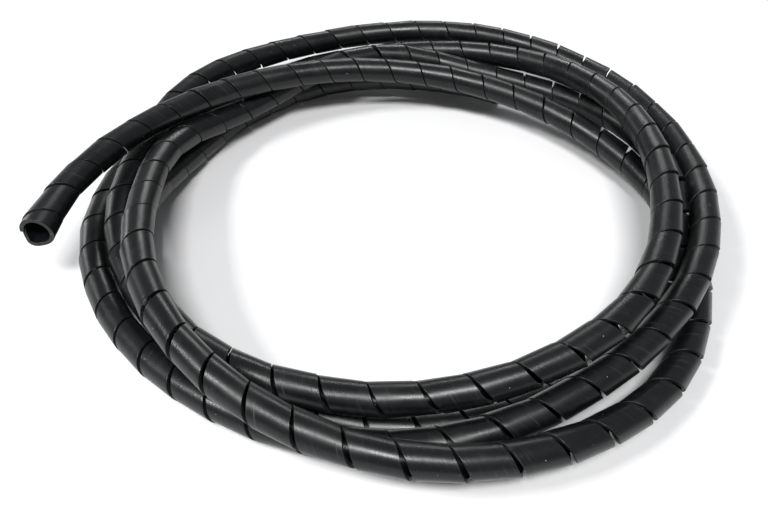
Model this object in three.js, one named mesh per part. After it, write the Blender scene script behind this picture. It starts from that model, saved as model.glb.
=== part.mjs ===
import * as THREE from "three";

// Spiral cable wrap: one flat strip of black polyethylene, formed into a helix that makes a
// split tube, and laid down in a loose coil with one end lifted clear of the other turns.
// Millimetres, +Z up. The coil lies on Z = 0, with the middle of its outline on the Z axis.

// Section of the tube
const OUTER_DIAMETER = 8;
const WALL = 1;
// Width of the strip, measured along the tube
const STRIP_WIDTH = 10.6;
// Slit that stays between two wraps on the inside of a bend, where they come closest
const INSIDE_SLIT = 0.25;
// Width of the strip's blunt tip, where a square cut across the tube ends it
const TIP_WIDTH = 0.5;

// The coil: radius of its middle turn, and the angle at which the lifted end starts,
// clockwise from above with 0 along +X
const COIL_RADIUS = 80;
const START_DEG = 154;
const STATION_STEP_DEG = 22.5;
// The straight stub at each end, as a share of one station step
const END_TRIM = 0.63;

// Route of the tube's axis, sixteen stations a turn. Each station is [out, up] in tube
// diameters: how far it lies outside COIL_RADIUS, and its height above the ground.
// Turns that touch are one diameter apart, so the stations follow the tube's size.
const ROUTE = [
  // Lifted end, over the outer turns, then down along the inside of the far arc
  [3.6, 3.15], [2.5, 3], [1.4, 2.8], [0, 2.6],
  [-1.05, 2.45], [-1.75, 2.3], [-2, 2.1], [-1.9, 1.85],
  [-1.5, 1.6], [-0.75, 1.3], [0.15, 1], [0.75, 0.85],
  // Out to the ground at the near right, up over two turns at the near left
  [1.1, 0.9], [0.8, 1.4], [0.55, 1.85], [0, 2.3],
  [-0.5, 2.7], [-1, 2.9], [-1.4, 2.5], [-0.8, 2],
  [-1.3, 1.2], [-0.9, 1.5], [0, 2], [0.35, 0.95],
  // Across the right side, along the ground at the front, up at the left
  [0.65, 0.9], [0.55, 1.65], [0.05, 2.35], [-0.4, 1.3],
  [-0.65, 0.6], [-1.25, 0.5], [-1.2, 0.5], [-1.35, 0.5],
  [-1.3, 0.55], [-0.7, 0.7], [0.2, 1], [0.55, 1.35],
  // Outermost turn of the far arc, then the outer one of the right-hand pair
  [1.6, 1.85], [1.9, 1.45], [2.5, 1.45], [2.75, 1.7],
  [2.4, 1.75], [1.8, 1.85], [1.15, 1.9], [0.55, 2],
  [-0.15, 1.85], [-0.4, 1.55], [-0.25, 1.1], [-0.45, 0.95],
  // Outermost turn of the left side, then the inner one of the right-hand pair
  [-0.25, 0.7], [0.35, 0.5], [1.25, 0.5], [1.4, 0.5],
  [1.3, 0.55], [1.3, 0.55], [1.45, 0.9], [1.4, 1.4],
  [0.9, 2.15], [0.05, 2.75], [-0.7, 3], [-0.85, 2.85],
  [-0.8, 2.7], [-1.2, 2.3], [-1.4, 1.85], [-1.4, 1.7],
  // Innermost turn at the front, then along the ground to the covered end
  [-1, 1.7], [-0.85, 1.8], [-0.8, 1.7], [-0.95, 0.6],
  [-0.55, 0.5], [-0.2, 0.6], [-0.5, 0.8], [-0.85, 1],
  [-0.55, 0.95], [0.05, 0.6],
];

// How finely the helix is faceted
const STEPS_PER_WRAP = 8;
// Share of a station step over which tangent and curvature are measured
const PROBE = 0.02;

const UP = new THREE.Vector3(0, 0, 1);
const OUTER_RADIUS = OUTER_DIAMETER / 2;
const INNER_RADIUS = OUTER_RADIUS - WALL;

// Smooth value of one column of the route, by a uniform cubic B-spline, which never leaves
// the range of the stations around it and so never dips below the ground.
function smoothed(column, u) {
  const first = Math.min(Math.max(Math.floor(u), 0), ROUTE.length - 4);
  const t = u - first;
  const weights = [
    (1 - t) ** 3 / 6,
    (3 * t ** 3 - 6 * t ** 2 + 4) / 6,
    (-3 * t ** 3 + 3 * t ** 2 + 3 * t + 1) / 6,
    t ** 3 / 6,
  ];
  return weights.reduce((sum, weight, i) => sum + weight * ROUTE[first + i][column], 0);
}

// Point of the axis at u stations along the route
function axisPoint(u) {
  const radius = COIL_RADIUS + OUTER_DIAMETER * smoothed(0, u);
  const angle = THREE.MathUtils.degToRad(-(START_DEG + u * STATION_STEP_DEG));
  return new THREE.Vector3(
    radius * Math.cos(angle),
    radius * Math.sin(angle),
    OUTER_DIAMETER * smoothed(1, u),
  );
}

// The axis at u: its point, its direction, the two directions across it, the length of one
// station step there, and the curvature.
function axisFrame(u) {
  const point = axisPoint(u);
  const before = axisPoint(u - PROBE);
  const after = axisPoint(u + PROBE);
  const along = after.clone().sub(before);
  const reach = along.length() / 2;
  along.normalize();
  const side = UP.clone().cross(along).normalize();
  const bend = after.clone().add(before).addScaledVector(point, -2);
  return {
    point,
    along,
    side,
    above: along.clone().cross(side),
    stepLength: reach / PROBE,
    curvature: bend.length() / reach ** 2,
  };
}

// Length of one wrap along the tube. Wraps close up on the inside of a bend until only
// INSIDE_SLIT is left between them, and so stand apart on its outside.
function pitchAt(curvature) {
  return (STRIP_WIDTH + INSIDE_SLIT) / (1 - OUTER_RADIUS * curvature);
}

// One straight line across the strip: its frame, its turn angle about the axis, and where
// its two ends lie along the tube.
function crossLine(frame, turn, front, back) {
  return { frame, turn, front, back };
}

// All cross lines of the strip, from the square-cut lifted end to the covered end
function crossLines() {
  const half = STRIP_WIDTH / 2;
  const turnStep = (2 * Math.PI) / STEPS_PER_WRAP;
  const lines = [];
  let turn = 0;

  const first = axisFrame(END_TRIM);
  const leadStep = pitchAt(first.curvature) / STEPS_PER_WRAP;
  const leadSteps = Math.floor((STRIP_WIDTH - TIP_WIDTH) / leadStep);
  for (let i = 0; i < leadSteps; i += 1) {
    const width = TIP_WIDTH + ((STRIP_WIDTH - TIP_WIDTH) * i) / leadSteps;
    lines.push(crossLine(first, turn, -half, width - half));
    turn += turnStep;
  }

  const end = ROUTE.length - 3 - END_TRIM;
  let frame = first;
  for (let u = END_TRIM; u < end; ) {
    frame = axisFrame(u);
    lines.push(crossLine(frame, turn, -half, half));
    turn += turnStep;
    u += pitchAt(frame.curvature) / STEPS_PER_WRAP / frame.stepLength;
  }

  for (let i = 1; i <= leadSteps; i += 1) {
    const width = STRIP_WIDTH - ((STRIP_WIDTH - TIP_WIDTH) * i) / leadSteps;
    lines.push(crossLine(frame, turn, half - width, half));
    turn += turnStep;
  }
  return lines;
}

// Corners of the strip's section on a cross line: outside front, outside back, inside back,
// inside front.
function sectionCorners({ frame, turn, front, back }) {
  const out = frame.side
    .clone()
    .multiplyScalar(Math.cos(turn))
    .addScaledVector(frame.above, Math.sin(turn));
  const corner = (radius, offset) =>
    frame.point.clone().addScaledVector(out, radius).addScaledVector(frame.along, offset);
  return [
    corner(OUTER_RADIUS, front),
    corner(OUTER_RADIUS, back),
    corner(INNER_RADIUS, back),
    corner(INNER_RADIUS, front),
  ];
}

// The strip as one closed surface: four long sides and a small face at each tip
function stripGeometry() {
  const sections = crossLines().map(sectionCorners);
  const positions = sections.flat().flatMap((p) => [p.x, p.y, p.z]);
  const indices = [0, 1, 2, 0, 2, 3];
  for (let i = 0; i + 1 < sections.length; i += 1) {
    for (let j = 0; j < 4; j += 1) {
      const a = i * 4 + j;
      const b = i * 4 + ((j + 1) % 4);
      indices.push(a, a + 4, b + 4, a, b + 4, b);
    }
  }
  const last = (sections.length - 1) * 4;
  indices.push(last, last + 2, last + 1, last, last + 3, last + 2);

  const geometry = new THREE.BufferGeometry();
  geometry.setAttribute("position", new THREE.Float32BufferAttribute(positions, 3));
  geometry.setIndex(indices);
  return geometry;
}

// Puts the middle of the outline on the Z axis and the lowest turn on Z = 0
function rest(geometry) {
  geometry.computeBoundingBox();
  const { min, max } = geometry.boundingBox;
  geometry.translate(-(min.x + max.x) / 2, -(min.y + max.y) / 2, -min.z);
  geometry.computeVertexNormals();
  return geometry;
}

const blackPolyethylene = new THREE.MeshStandardMaterial({
  color: 0x17191a,
  roughness: 0.42,
  metalness: 0,
  flatShading: true,
});

const wrap = new THREE.Mesh(rest(stripGeometry()), blackPolyethylene);
wrap.name = "spiral_strip";

const group = new THREE.Group();
group.add(wrap);

export default group;
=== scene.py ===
"""A spiral cable wrap: one strip of black polyethylene, wound into a split tube and coiled.

The strip winds right-handed round the tube's axis. The axis follows the same route as the
solid, station by station, so each wrap lies where the solid's wrap lies. Metres, +Z up.
"""

import logging
import math
from dataclasses import dataclass, field
from enum import Enum

import bpy
import numpy as np
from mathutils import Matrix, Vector


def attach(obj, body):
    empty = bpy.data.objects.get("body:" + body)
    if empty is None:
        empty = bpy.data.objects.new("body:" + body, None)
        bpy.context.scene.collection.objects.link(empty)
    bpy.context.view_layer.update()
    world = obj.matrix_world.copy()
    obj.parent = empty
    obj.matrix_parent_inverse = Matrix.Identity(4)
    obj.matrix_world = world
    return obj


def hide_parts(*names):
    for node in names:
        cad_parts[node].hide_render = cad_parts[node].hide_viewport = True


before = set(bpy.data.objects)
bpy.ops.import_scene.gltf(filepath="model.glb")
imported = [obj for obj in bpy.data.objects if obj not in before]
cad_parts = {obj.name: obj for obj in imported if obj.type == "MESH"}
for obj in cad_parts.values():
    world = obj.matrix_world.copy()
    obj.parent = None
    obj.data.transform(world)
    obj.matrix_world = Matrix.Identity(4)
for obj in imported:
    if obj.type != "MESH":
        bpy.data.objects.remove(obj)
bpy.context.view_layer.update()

LOG = logging.getLogger("spiral_wrap")

MM = 0.001
BODY = "root"
NODE = "spiral_strip"

# Route of the tube's axis, sixteen stations a turn: how far each lies outside the middle
# turn, and its height above the ground, in tube diameters.
STATIONS = (
    (3.6, 3.15), (2.5, 3), (1.4, 2.8), (0, 2.6),
    (-1.05, 2.45), (-1.75, 2.3), (-2, 2.1), (-1.9, 1.85),
    (-1.5, 1.6), (-0.75, 1.3), (0.15, 1), (0.75, 0.85),
    (1.1, 0.9), (0.8, 1.4), (0.55, 1.85), (0, 2.3),
    (-0.5, 2.7), (-1, 2.9), (-1.4, 2.5), (-0.8, 2),
    (-1.3, 1.2), (-0.9, 1.5), (0, 2), (0.35, 0.95),
    (0.65, 0.9), (0.55, 1.65), (0.05, 2.35), (-0.4, 1.3),
    (-0.65, 0.6), (-1.25, 0.5), (-1.2, 0.5), (-1.35, 0.5),
    (-1.3, 0.55), (-0.7, 0.7), (0.2, 1), (0.55, 1.35),
    (1.6, 1.85), (1.9, 1.45), (2.5, 1.45), (2.75, 1.7),
    (2.4, 1.75), (1.8, 1.85), (1.15, 1.9), (0.55, 2),
    (-0.15, 1.85), (-0.4, 1.55), (-0.25, 1.1), (-0.45, 0.95),
    (-0.25, 0.7), (0.35, 0.5), (1.25, 0.5), (1.4, 0.5),
    (1.3, 0.55), (1.3, 0.55), (1.45, 0.9), (1.4, 1.4),
    (0.9, 2.15), (0.05, 2.75), (-0.7, 3), (-0.85, 2.85),
    (-0.8, 2.7), (-1.2, 2.3), (-1.4, 1.85), (-1.4, 1.7),
    (-1, 1.7), (-0.85, 1.8), (-0.8, 1.7), (-0.95, 0.6),
    (-0.55, 0.5), (-0.2, 0.6), (-0.5, 0.8), (-0.85, 1),
    (-0.55, 0.95), (0.05, 0.6),
)


def unit(vectors: np.ndarray) -> np.ndarray:
    """Rows scaled to length one."""
    return vectors / np.linalg.norm(vectors, axis=-1, keepdims=True)


@dataclass(frozen=True)
class AxisFrames:
    """The tube's axis at several places: points, directions, and how it runs there."""

    point: np.ndarray
    along: np.ndarray
    side: np.ndarray
    above: np.ndarray
    step_length: np.ndarray
    curvature: np.ndarray

    def outward(self, turn: np.ndarray) -> np.ndarray:
        """Directions out of the axis at these turn angles."""
        return self.side * np.cos(turn)[:, None] + self.above * np.sin(turn)[:, None]


@dataclass(frozen=True)
class TubeRoute:
    """Route of the tube's axis round the coil, clockwise from above."""

    tube: float = 8 * MM
    coil_radius: float = 80 * MM
    start: float = math.radians(154)
    step: float = math.radians(22.5)
    trim: float = 0.63
    probe: float = 0.02

    @property
    def end(self) -> float:
        """Place of the covered end, in stations."""
        return len(STATIONS) - 3 - self.trim

    def points(self, u: np.ndarray) -> np.ndarray:
        """Points of the axis.

        Args:
            u: places along the route, in stations.

        Returns:
            One point a place, in the coil's own frame.
        """
        table = np.array(STATIONS, float)
        first = np.clip(np.floor(u).astype(int), 0, len(table) - 4)
        t = (u - first)[:, None]
        weights = (
            (1 - t) ** 3 / 6,
            (3 * t**3 - 6 * t**2 + 4) / 6,
            (-3 * t**3 + 3 * t**2 + 3 * t + 1) / 6,
            t**3 / 6,
        )
        out, up = sum(w * table[first + i] for i, w in enumerate(weights)).T
        radius = self.coil_radius + self.tube * out
        angle = -(self.start + u * self.step)
        return np.stack(
            (radius * np.cos(angle), radius * np.sin(angle), self.tube * up), axis=1
        )

    def frames(self, u: np.ndarray) -> AxisFrames:
        """Frames of the axis.

        Args:
            u: places along the route, in stations.

        Returns:
            Points, directions, length of a station step and curvature at each place.
        """
        point = self.points(u)
        before, after = self.points(u - self.probe), self.points(u + self.probe)
        chord = after - before
        reach = np.linalg.norm(chord, axis=1) / 2
        along = unit(chord)
        side = unit(np.cross(np.array((0.0, 0.0, 1.0)), along))
        bend = np.linalg.norm(after + before - 2 * point, axis=1)
        return AxisFrames(
            point, along, side, np.cross(along, side), reach / self.probe, bend / reach**2
        )


@dataclass(frozen=True)
class Wander:
    """Smooth seeded unevenness along the strip, from one part of a wrap to the next."""

    seed: int
    size: float
    wraps: float

    def at(self, turn: np.ndarray) -> np.ndarray:
        """Unevenness at these turn angles.

        Args:
            turn: angles round the tube's axis, from the strip's first tip.

        Returns:
            Values within about plus and minus the size.
        """
        place = turn / (2 * math.pi * self.wraps)
        knots = np.random.default_rng(self.seed).uniform(-1, 1, int(place.max()) + 3)
        whole = np.floor(place).astype(int)
        share = place - whole
        share = share * share * (3 - 2 * share)
        return self.size * (knots[whole] * (1 - share) + knots[whole + 1] * share)


class Side(Enum):
    """Which of the strip's finishes a face wears, as a place in its material list."""

    SKIN = 0
    CUT = 1


@dataclass
class SpiralStrip:
    """The one-piece strip, with rounded arrises, loose wraps and a flared open end."""

    route: TubeRoute = field(default_factory=TubeRoute)
    wall: float = 1 * MM
    width: float = 10.6 * MM
    inside_slit: float = 0.25 * MM
    tip_width: float = 0.5 * MM
    arris: float = 0.12 * MM
    coarse: int = 8
    fine: int = 4
    flare: float = 0.12
    flare_reach: float = 6.5 * MM
    corner_turn: float = 5.2
    corner_spread: float = 0.4
    corner_out: float = 0.45 * MM
    corner_forward: float = 0.27 * MM
    lip_reach: float = 2 * MM
    map_length: float = 10 * MM
    lift: Wander = Wander(11, 0.1 * MM, 0.45)
    tilt: Wander = Wander(23, 0.04, 0.6)
    shift: Wander = Wander(37, 0.07 * MM, 1.3)
    lip: Wander = Wander(5, 0.12 * MM, 0.11)

    def wind(self) -> np.ndarray:
        """Places the strip's cross lines, eight a wrap, as the solid has them.

        Returns:
            Rows of place along the route, front end and back end, one row a line.
        """
        half = self.width / 2
        route = self.route

        def advance(u: float) -> float:
            """Stations from one cross line to the next."""
            at = route.frames(np.array([u]))
            slack = 1 - route.tube / 2 * at.curvature[0]
            pitch = (self.width + self.inside_slit) / slack
            return pitch / self.coarse / at.step_length[0]

        lead_step = advance(route.trim) * route.frames(np.array([route.trim])).step_length[0]
        taper = self.width - self.tip_width
        leads = math.floor(taper / lead_step)
        rows = [(route.trim, -half, self.tip_width + taper * i / leads - half) for i in range(leads)]
        u = last = route.trim
        while u < route.end:
            last = u
            rows.append((u, -half, half))
            u += advance(u)
        rows += [(last, half - self.width + taper * i / leads, half) for i in range(1, leads + 1)]
        return np.array(rows)

    def centring(self, lines: np.ndarray) -> np.ndarray:
        """Move from the coil's own frame to the part's frame.

        Args:
            lines: the cross lines from wind().

        Returns:
            The move, which centres the outline and sets the coil on the ground.
        """
        at = self.route.frames(lines[:, 0])
        turn = np.arange(len(lines)) * 2 * math.pi / self.coarse
        out = at.outward(turn)
        corners = np.concatenate(
            [
                at.point + out * radius + at.along * lines[:, column, None]
                for radius in (self.route.tube / 2, self.route.tube / 2 - self.wall)
                for column in (1, 2)
            ]
        )
        low, high = corners.min(0), corners.max(0)
        return np.array((-(low[0] + high[0]) / 2, -(low[1] + high[1]) / 2, -low[2]))

    def centreline(self, lines: np.ndarray, move: np.ndarray) -> np.ndarray:
        """Points that the tube follows, from its covered end to its open end.

        Args:
            lines: the cross lines from wind().
            move: the move from centring().

        Returns:
            Points at most a few millimetres apart, in the part's frame.
        """
        u = np.linspace(self.route.trim, lines[-1, 0], 8 * len(STATIONS))
        at = self.route.frames(u)
        half = self.width / 2
        line = np.concatenate(
            (
                [at.point[0] - at.along[0] * half],
                at.point,
                [at.point[-1] + at.along[-1] * half],
            )
        )
        return (line + move)[::-1]

    def surface(self, lines: np.ndarray) -> tuple[np.ndarray, np.ndarray, np.ndarray]:
        """Sections of the strip, fine enough to look round.

        Args:
            lines: the cross lines from wind().

        Returns:
            Positions, normals and texture places, each as line by section point.
        """
        count = (len(lines) - 1) * self.fine + 1
        place = np.arange(count) / self.fine
        turn = place * 2 * math.pi / self.coarse
        u, front, back = (np.interp(place, np.arange(len(lines)), c) for c in lines.T)
        at = self.route.frames(u)
        out = at.outward(turn)
        steps = np.linalg.norm(np.diff(at.point, axis=0), axis=1)
        gone = np.concatenate(([0.0], np.cumsum(steps)))

        outer, inner = self.route.tube / 2, self.route.tube / 2 - self.wall
        # Each corner is an arc of three points: its two ends, and its middle this far in
        arc, mid = self.arris, self.arris * (1 - math.sqrt(0.5))
        section = (
            (outer, 0, arc), (outer, 1, -arc), (outer - mid, 1, -mid), (outer - arc, 1, 0),
            (inner + arc, 1, 0), (inner + mid, 1, -mid), (inner, 1, -arc), (inner, 0, arc),
            (inner + mid, 0, mid), (inner + arc, 0, 0), (outer - arc, 0, 0), (outer - mid, 0, mid),
        )
        lip = self.lip.at(turn) * np.clip(1 - gone / self.lip_reach, 0, 1)
        corner = np.exp(-(((turn - self.corner_turn) / self.corner_spread) ** 2))
        positions, places = [], []
        for radius, end, inset in section:
            offset = (front if end == 0 else back) + inset
            if end == 0:
                offset = offset + lip - corner * self.corner_forward
            from_face = gone + offset + self.width / 2
            near = np.exp(-((np.maximum(from_face, 0) / self.flare_reach) ** 2))
            reach = radius * (1 + self.flare * near) + corner * near * self.corner_out
            reach = reach + self.lift.at(turn) + self.tilt.at(turn) * offset
            offset = offset + self.shift.at(turn)
            positions.append(at.point + out * reach[:, None] + at.along * offset[:, None])
            places.append(np.stack((turn / (2 * math.pi), offset / self.map_length), axis=1))
        grid = np.stack(positions, axis=1)
        return grid, self.normals(grid, out), np.stack(places, axis=1)

    @staticmethod
    def normals(grid: np.ndarray, out: np.ndarray) -> np.ndarray:
        """Normals that keep the faces flat across and the arrises round.

        Args:
            grid: positions, as line by section point.
            out: directions out of the tube's axis, one a line.

        Returns:
            One normal a position.
        """
        run = np.gradient(grid, axis=0)
        skin = unit(np.cross(run[:, 0] + run[:, 1], grid[:, 1] - grid[:, 0]))
        skin *= np.sign((skin * out).sum(1))[:, None]
        lining = unit(np.cross(run[:, 6] + run[:, 7], grid[:, 6] - grid[:, 7]))
        lining *= -np.sign((lining * out).sum(1))[:, None]
        across = grid[:, 1] - grid[:, 0]
        back = unit(np.cross(run[:, 3], grid[:, 3] - grid[:, 4]))
        back *= np.sign((back * across).sum(1))[:, None]
        front = unit(np.cross(run[:, 10], grid[:, 10] - grid[:, 9]))
        front *= -np.sign((front * across).sum(1))[:, None]
        return np.stack(
            (
                skin, skin, unit(skin + back), back, back, unit(back + lining),
                lining, lining, unit(lining + front), front, front, unit(front + skin),
            ),
            axis=1,
        )

    def build(self, move: np.ndarray, lines: np.ndarray) -> bpy.types.Object:
        """Makes the strip's mesh.

        Args:
            move: the move from centring().
            lines: the cross lines from wind().

        Returns:
            The strip as an object, with a texture map and its two finishes' faces marked.
        """
        grid, normals, places = self.surface(lines)
        rows, around = grid.shape[:2]
        index = np.arange(rows * around).reshape(rows, around)
        beyond = np.roll(index, -1, axis=1)
        quads = np.stack((index[:-1], index[1:], beyond[1:], beyond[:-1]), axis=-1)
        faces = quads.reshape(-1, 4).tolist()
        faces.append(index[0].tolist())
        faces.append(index[-1][::-1].tolist())

        mesh = bpy.data.meshes.new("spiral_wrap")
        mesh.from_pydata((grid.reshape(-1, 3) + move).tolist(), [], faces)
        cut = np.isin(np.arange(around), (2, 3, 4, 8, 9, 10))
        sides = np.where(np.tile(cut, rows - 1), Side.CUT.value, Side.SKIN.value)
        sides = np.concatenate((sides, [Side.CUT.value, Side.CUT.value]))
        mesh.polygons.foreach_set("material_index", sides.astype(np.int32))
        mesh.polygons.foreach_set("use_smooth", np.ones(len(sides), bool))
        corners = np.zeros(len(mesh.loops), np.int32)
        mesh.loops.foreach_get("vertex_index", corners)
        layer = mesh.uv_layers.new(name="strip")
        layer.data.foreach_set("uv", places.reshape(-1, 2)[corners].astype(np.float32).ravel())
        mesh.normals_split_custom_set_from_vertices(normals.reshape(-1, 3).tolist())
        strip = bpy.data.objects.new("spiral_wrap", mesh)
        bpy.context.scene.collection.objects.link(strip)
        return strip


class NodeTable:
    """One node tree, with short calls to place and join its nodes."""

    def __init__(self, tree: bpy.types.NodeTree) -> None:
        """Keeps the tree."""
        self.tree = tree

    def add(self, kind: str, settings: dict | None = None, **inputs: object) -> bpy.types.Node:
        """Places a node.

        Args:
            kind: the node's type name.
            settings: the node's own properties.
            **inputs: values or sockets, by input name with _ for a space, or in0, in1.

        Returns:
            The node.
        """
        node = self.tree.nodes.new(kind)
        for key, value in (settings or {}).items():
            setattr(node, key, value)
        for key, value in inputs.items():
            spot = int(key[2:]) if key[:2] == "in" and key[2:].isdigit() else key.replace("_", " ")
            if isinstance(value, bpy.types.NodeSocket):
                self.tree.links.new(value, node.inputs[spot])
            else:
                node.inputs[spot].default_value = value
        return node

    def math(self, operation: str, a: object, b: object = 0.0) -> bpy.types.NodeSocket:
        """Result of one sum."""
        return self.add("ShaderNodeMath", {"operation": operation}, in0=a, in1=b).outputs[0]

    def span(self, value: object, low: object, high: object, to: tuple = (0.0, 1.0)) -> object:
        """Value moved from one range to another, and kept inside it."""
        made = self.add("ShaderNodeMapRange", {"clamp": True}, in0=value, in1=low, in2=high)
        made.inputs[3].default_value, made.inputs[4].default_value = to
        return made.outputs[0]


@dataclass(frozen=True)
class Effect:
    """A shared surface effect, built once as a node group."""

    name: str
    inputs: tuple[tuple[str, str, object], ...]
    outputs: tuple[tuple[str, str], ...]

    def group(self) -> bpy.types.NodeTree:
        """The effect's node group, made on first use.

        Returns:
            The group.
        """
        found = bpy.data.node_groups.get(self.name)
        if found:
            return found
        tree = bpy.data.node_groups.new(self.name, "ShaderNodeTree")
        for name, kind, value in self.inputs:
            socket = tree.interface.new_socket(name, in_out="INPUT", socket_type=kind)
            if value is not None:
                socket.default_value = value
        for name, kind in self.outputs:
            tree.interface.new_socket(name, in_out="OUTPUT", socket_type=kind)
        table = NodeTable(tree)
        given = tree.nodes.new("NodeGroupInput").outputs
        made = self.draw(table, given)
        result = tree.nodes.new("NodeGroupOutput")
        for (name, _), socket in zip(self.outputs, made, strict=True):
            tree.links.new(socket, result.inputs[name])
        return tree

    def draw(self, table: NodeTable, given: object) -> tuple[bpy.types.NodeSocket, ...]:
        """Places the effect's nodes and gives its output sockets."""
        raise NotImplementedError

    def place(self, table: NodeTable, **inputs: object) -> bpy.types.Node:
        """Puts the effect into a material, with values or sockets by input name."""
        return table.add("ShaderNodeGroup", {"node_tree": self.group()}, **inputs)


FLOAT, VECTOR = "NodeSocketFloat", "NodeSocketVector"


class DrawLines(Effect):
    """Fine lines that run round the tube, left by the die."""

    def __init__(self) -> None:
        """Names the effect's sockets."""
        super().__init__(
            "draw_lines",
            (("Place", VECTOR, None), ("Along", FLOAT, 3.0), ("Across", FLOAT, 60.0)),
            (("Height", FLOAT), ("Mask", FLOAT)),
        )

    def draw(self, table: NodeTable, given: object) -> tuple[bpy.types.NodeSocket, ...]:
        """Places the effect's nodes and gives its output sockets."""
        stretch = table.add("ShaderNodeCombineXYZ", in0=given["Along"], in1=given["Across"])
        spot = table.add(
            "ShaderNodeVectorMath",
            {"operation": "MULTIPLY"},
            in0=given["Place"],
            in1=stretch.outputs[0],
        )
        grain = table.add(
            "ShaderNodeTexNoise", Vector=spot.outputs[0], Scale=1.0, Detail=4.0, Roughness=0.7
        )
        scratch = table.span(grain.outputs["Fac"], 0.6, 0.72)
        return grain.outputs["Fac"], scratch


class Specks(Effect):
    """Sparse specks of dust, each in its own cell of space."""

    def __init__(self) -> None:
        """Names the effect's sockets."""
        super().__init__(
            "specks",
            (
                ("Place", VECTOR, None),
                ("Scale", FLOAT, 900.0),
                ("Share", FLOAT, 0.1),
                ("Size", FLOAT, 0.2),
            ),
            (("Mask", FLOAT),),
        )

    def draw(self, table: NodeTable, given: object) -> tuple[bpy.types.NodeSocket, ...]:
        """Places the effect's nodes and gives its output sockets."""
        cells = table.add(
            "ShaderNodeTexVoronoi", Vector=given["Place"], Scale=given["Scale"]
        )
        dice = table.add("ShaderNodeSeparateXYZ", in0=cells.outputs["Color"])
        picked = table.math("LESS_THAN", dice.outputs[0], given["Share"])
        radius = table.math("MULTIPLY", dice.outputs[1], given["Size"])
        inside = table.math("LESS_THAN", cells.outputs["Distance"], radius)
        return (table.math("MULTIPLY", picked, inside),)


class Patches(Effect):
    """Soft cloudy patches, for handling marks and uneven gloss."""

    def __init__(self) -> None:
        """Names the effect's sockets."""
        super().__init__(
            "patches",
            (("Place", VECTOR, None), ("Scale", FLOAT, 60.0), ("Sharpness", FLOAT, 0.5)),
            (("Mask", FLOAT),),
        )

    def draw(self, table: NodeTable, given: object) -> tuple[bpy.types.NodeSocket, ...]:
        """Places the effect's nodes and gives its output sockets."""
        cloud = table.add(
            "ShaderNodeTexNoise",
            Vector=given["Place"],
            Scale=given["Scale"],
            Detail=5.0,
            Roughness=given["Sharpness"],
        )
        return (table.span(cloud.outputs["Fac"], 0.35, 0.65),)


class StripEdges(Effect):
    """Bands along the strip's two edges, where wraps rub and tools slip."""

    def __init__(self) -> None:
        """Names the effect's sockets."""
        super().__init__(
            "strip_edges",
            (("Place", VECTOR, None), ("Start", FLOAT, 0.3), ("Edge", FLOAT, 0.53)),
            (("Mask", FLOAT),),
        )

    def draw(self, table: NodeTable, given: object) -> tuple[bpy.types.NodeSocket, ...]:
        """Places the effect's nodes and gives its output sockets."""
        across = table.add("ShaderNodeSeparateXYZ", in0=given["Place"]).outputs[1]
        return (table.span(table.math("ABSOLUTE", across), given["Start"], given["Edge"]),)


DRAW_LINES, SPECKS, PATCHES, EDGES = DrawLines(), Specks(), Patches(), StripEdges()


@dataclass(frozen=True)
class Polyethylene:
    """Finish of the strip: black plastic with die lines, handling marks and dust."""

    name: str
    colour: tuple[float, float, float]
    worn: tuple[float, float, float]
    gloss: tuple[float, float]
    line_height: float
    scratch_share: float
    dust_share: float
    dust_colour: tuple[float, float, float] = (0.2, 0.2, 0.195)
    ior: float = 1.39

    def material(self) -> bpy.types.Material:
        """Builds the finish.

        Returns:
            The material.
        """
        made = bpy.data.materials.new(self.name)
        made.use_nodes = True
        made.diffuse_color = (*self.colour, 1.0)
        tree = made.node_tree
        shader = tree.nodes["Principled BSDF"]
        shader.inputs["IOR"].default_value = self.ior
        table = NodeTable(tree)
        place = table.add("ShaderNodeTexCoord")
        space, strip = place.outputs["Object"], place.outputs["UV"]

        lines = DRAW_LINES.place(table, Place=strip, Along=1.6, Across=30.0)
        dust = SPECKS.place(table, Place=space, Scale=1100.0, Share=self.dust_share, Size=0.15)
        handling = PATCHES.place(table, Place=space, Scale=90.0, Sharpness=0.6)

        nicks = DRAW_LINES.place(table, Place=strip, Along=9.0, Across=75.0)
        edges = EDGES.place(table, Place=strip, Start=0.22, Edge=0.53)

        scratched = table.math("MULTIPLY", lines.outputs["Mask"], handling.outputs["Mask"])
        nicked = table.math("MULTIPLY", nicks.outputs["Mask"], edges.outputs["Mask"])
        scratched = table.math("MAXIMUM", scratched, nicked)
        scratched = table.math("MULTIPLY", scratched, self.scratch_share)
        colour = table.add("ShaderNodeMix", {"data_type": "RGBA"}, Factor=scratched)
        colour.inputs[6].default_value = (*self.colour, 1.0)
        colour.inputs[7].default_value = (*self.worn, 1.0)
        dusty = table.add("ShaderNodeMix", {"data_type": "RGBA"}, Factor=dust.outputs["Mask"])
        tree.links.new(colour.outputs[2], dusty.inputs[6])
        dusty.inputs[7].default_value = (*self.dust_colour, 1.0)
        tree.links.new(dusty.outputs[2], shader.inputs["Base Color"])

        uneven = table.math("ADD", handling.outputs["Mask"], lines.outputs["Mask"])
        rough = table.span(uneven, 0.0, 2.0, self.gloss)
        tree.links.new(rough, shader.inputs["Roughness"])
        bump = table.add("ShaderNodeBump", Strength=1.0, Distance=self.line_height)
        tree.links.new(lines.outputs["Height"], bump.inputs["Height"])
        tree.links.new(bump.outputs[0], shader.inputs["Normal"])
        return made


SKIN = Polyethylene(
    name="polyethylene_skin",
    colour=(0.0022, 0.0027, 0.003),
    worn=(0.11, 0.115, 0.115),
    gloss=(0.26, 0.5),
    line_height=0.045 * MM,
    scratch_share=0.6,
    dust_share=0.05,
)
CUT_EDGE = Polyethylene(
    name="polyethylene_cut_edge",
    colour=(0.006, 0.0068, 0.007),
    worn=(0.12, 0.125, 0.125),
    gloss=(0.4, 0.6),
    line_height=0.03 * MM,
    scratch_share=0.9,
    dust_share=0.08,
)


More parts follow.
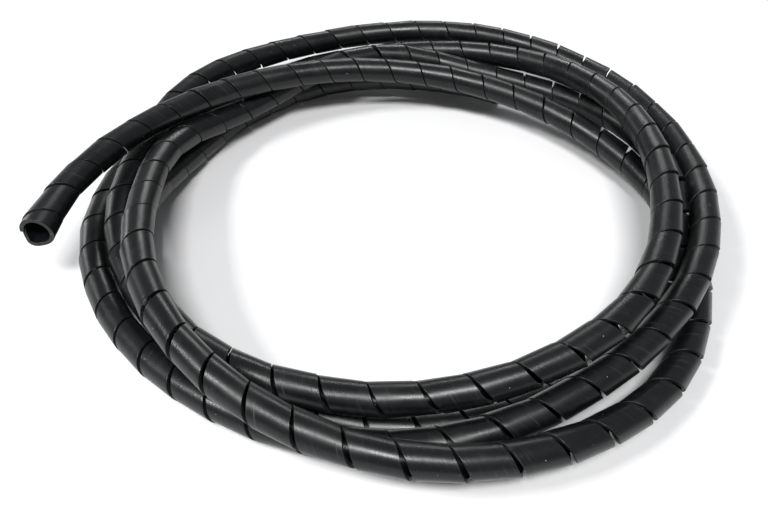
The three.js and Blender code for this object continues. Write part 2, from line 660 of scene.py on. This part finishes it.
@dataclass(frozen=True)
class SoftLight:
    """A square soft light that looks at a point."""

    name: str
    place: tuple[float, float, float]
    aim: tuple[float, float, float]
    size: tuple[float, float]
    power: float
    colour: tuple[float, float, float] = (1.0, 1.0, 1.0)

    def build(self) -> bpy.types.Object:
        """Makes the light.

        Returns:
            The light as an object.
        """
        data = bpy.data.lights.new(self.name, "AREA")
        data.shape = "RECTANGLE"
        data.size, data.size_y = self.size
        data.energy = self.power
        data.color = self.colour
        lamp = bpy.data.objects.new(self.name, data)
        lamp.location = self.place
        look = Vector(self.aim) - Vector(self.place)
        lamp.rotation_euler = look.to_track_quat("-Z", "Y").to_euler()
        bpy.context.scene.collection.objects.link(lamp)
        return lamp


@dataclass
class Studio:
    """Pale floor, soft lights and the camera."""

    eye: tuple[float, float, float] = (-3.2 * MM, -151.8 * MM, 146.2 * MM)
    tilt_deg: float = 43.62
    focal_px: float = 687.5
    image_px: float = 768.0
    floor_size: float = 6.0
    floor_colour: tuple[float, float, float] = (0.53, 0.53, 0.535)
    floor_roughness: float = 0.9
    air_colour: tuple[float, float, float] = (0.96, 0.98, 1.0)
    air_strength: float = 0.36
    lights: tuple[SoftLight, ...] = (
        SoftLight("overhead", (-0.02, -0.46, 0.92), (0.0, 0.0, 0.0), (0.36, 0.15), 13.0),
        SoftLight("key", (-1.3, -0.45, 1.6), (0.0, 0.0, 0.0), (0.4, 0.35), 37.0),
        SoftLight("back", (0.2, 2.0, 1.1), (0.0, 0.0, 0.0), (0.9, 0.3), 11.0),
        SoftLight("window", (-2.4, 1.6, 0.7), (0.0, 0.0, 0.0), (0.7, 0.5), 13.0),
    )

    def camera(self, move: np.ndarray) -> bpy.types.Object:
        """Makes the camera.

        Args:
            move: the move from the coil's own frame to the part's frame.

        Returns:
            The camera, which is also set as the scene's.
        """
        data = bpy.data.cameras.new("camera")
        data.sensor_width = 36.0
        data.lens = data.sensor_width * self.focal_px / self.image_px
        data.clip_start, data.clip_end = 0.005, 20.0
        camera = bpy.data.objects.new("camera", data)
        camera.location = Vector(np.array(self.eye) + np.array((move[0], move[1], 0.0)))
        camera.rotation_euler = (math.radians(self.tilt_deg), 0.0, 0.0)
        bpy.context.scene.collection.objects.link(camera)
        bpy.context.scene.camera = camera
        return camera

    def floor(self) -> bpy.types.Object:
        """Makes the floor.

        Returns:
            The floor.
        """
        half = self.floor_size / 2
        mesh = bpy.data.meshes.new("floor")
        mesh.from_pydata(
            [(-half, -half, 0), (half, -half, 0), (half, half, 0), (-half, half, 0)],
            [],
            [(0, 1, 2, 3)],
        )
        paper = bpy.data.materials.new("white_paper")
        paper.use_nodes = True
        shader = paper.node_tree.nodes["Principled BSDF"]
        shader.inputs["Base Color"].default_value = (*self.floor_colour, 1.0)
        shader.inputs["Roughness"].default_value = self.floor_roughness
        mesh.materials.append(paper)
        floor = bpy.data.objects.new("floor", mesh)
        bpy.context.scene.collection.objects.link(floor)
        return floor

    def air(self) -> None:
        """Sets the soft light from all round and the plain colour transform."""
        world = bpy.data.worlds.new("soft_room")
        world.use_nodes = True
        back = world.node_tree.nodes["Background"]
        back.inputs["Color"].default_value = (*self.air_colour, 1.0)
        back.inputs["Strength"].default_value = self.air_strength
        bpy.context.scene.world = world
        bpy.context.scene.view_settings.view_transform = "Standard"


def main() -> None:
    """Builds the coil and its stage, and logs each light's power."""
    logging.basicConfig(level=logging.INFO, format="%(name)s: %(message)s")
    strip = SpiralStrip()
    lines = strip.wind()
    move = strip.centring(lines)
    studio = Studio()
    studio.camera(move)

    wrap = strip.build(move, lines)
    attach(wrap, BODY)
    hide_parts(NODE)
    line = strip.centreline(lines, move)
    for finish in (SKIN, CUT_EDGE):
        wrap.data.materials.append(finish.material())

    studio.floor()
    for light in studio.lights:
        light.build()
        LOG.info("light %s: %.1f W", light.name, light.power)
    studio.air()


if __name__ == "__main__":
    main()
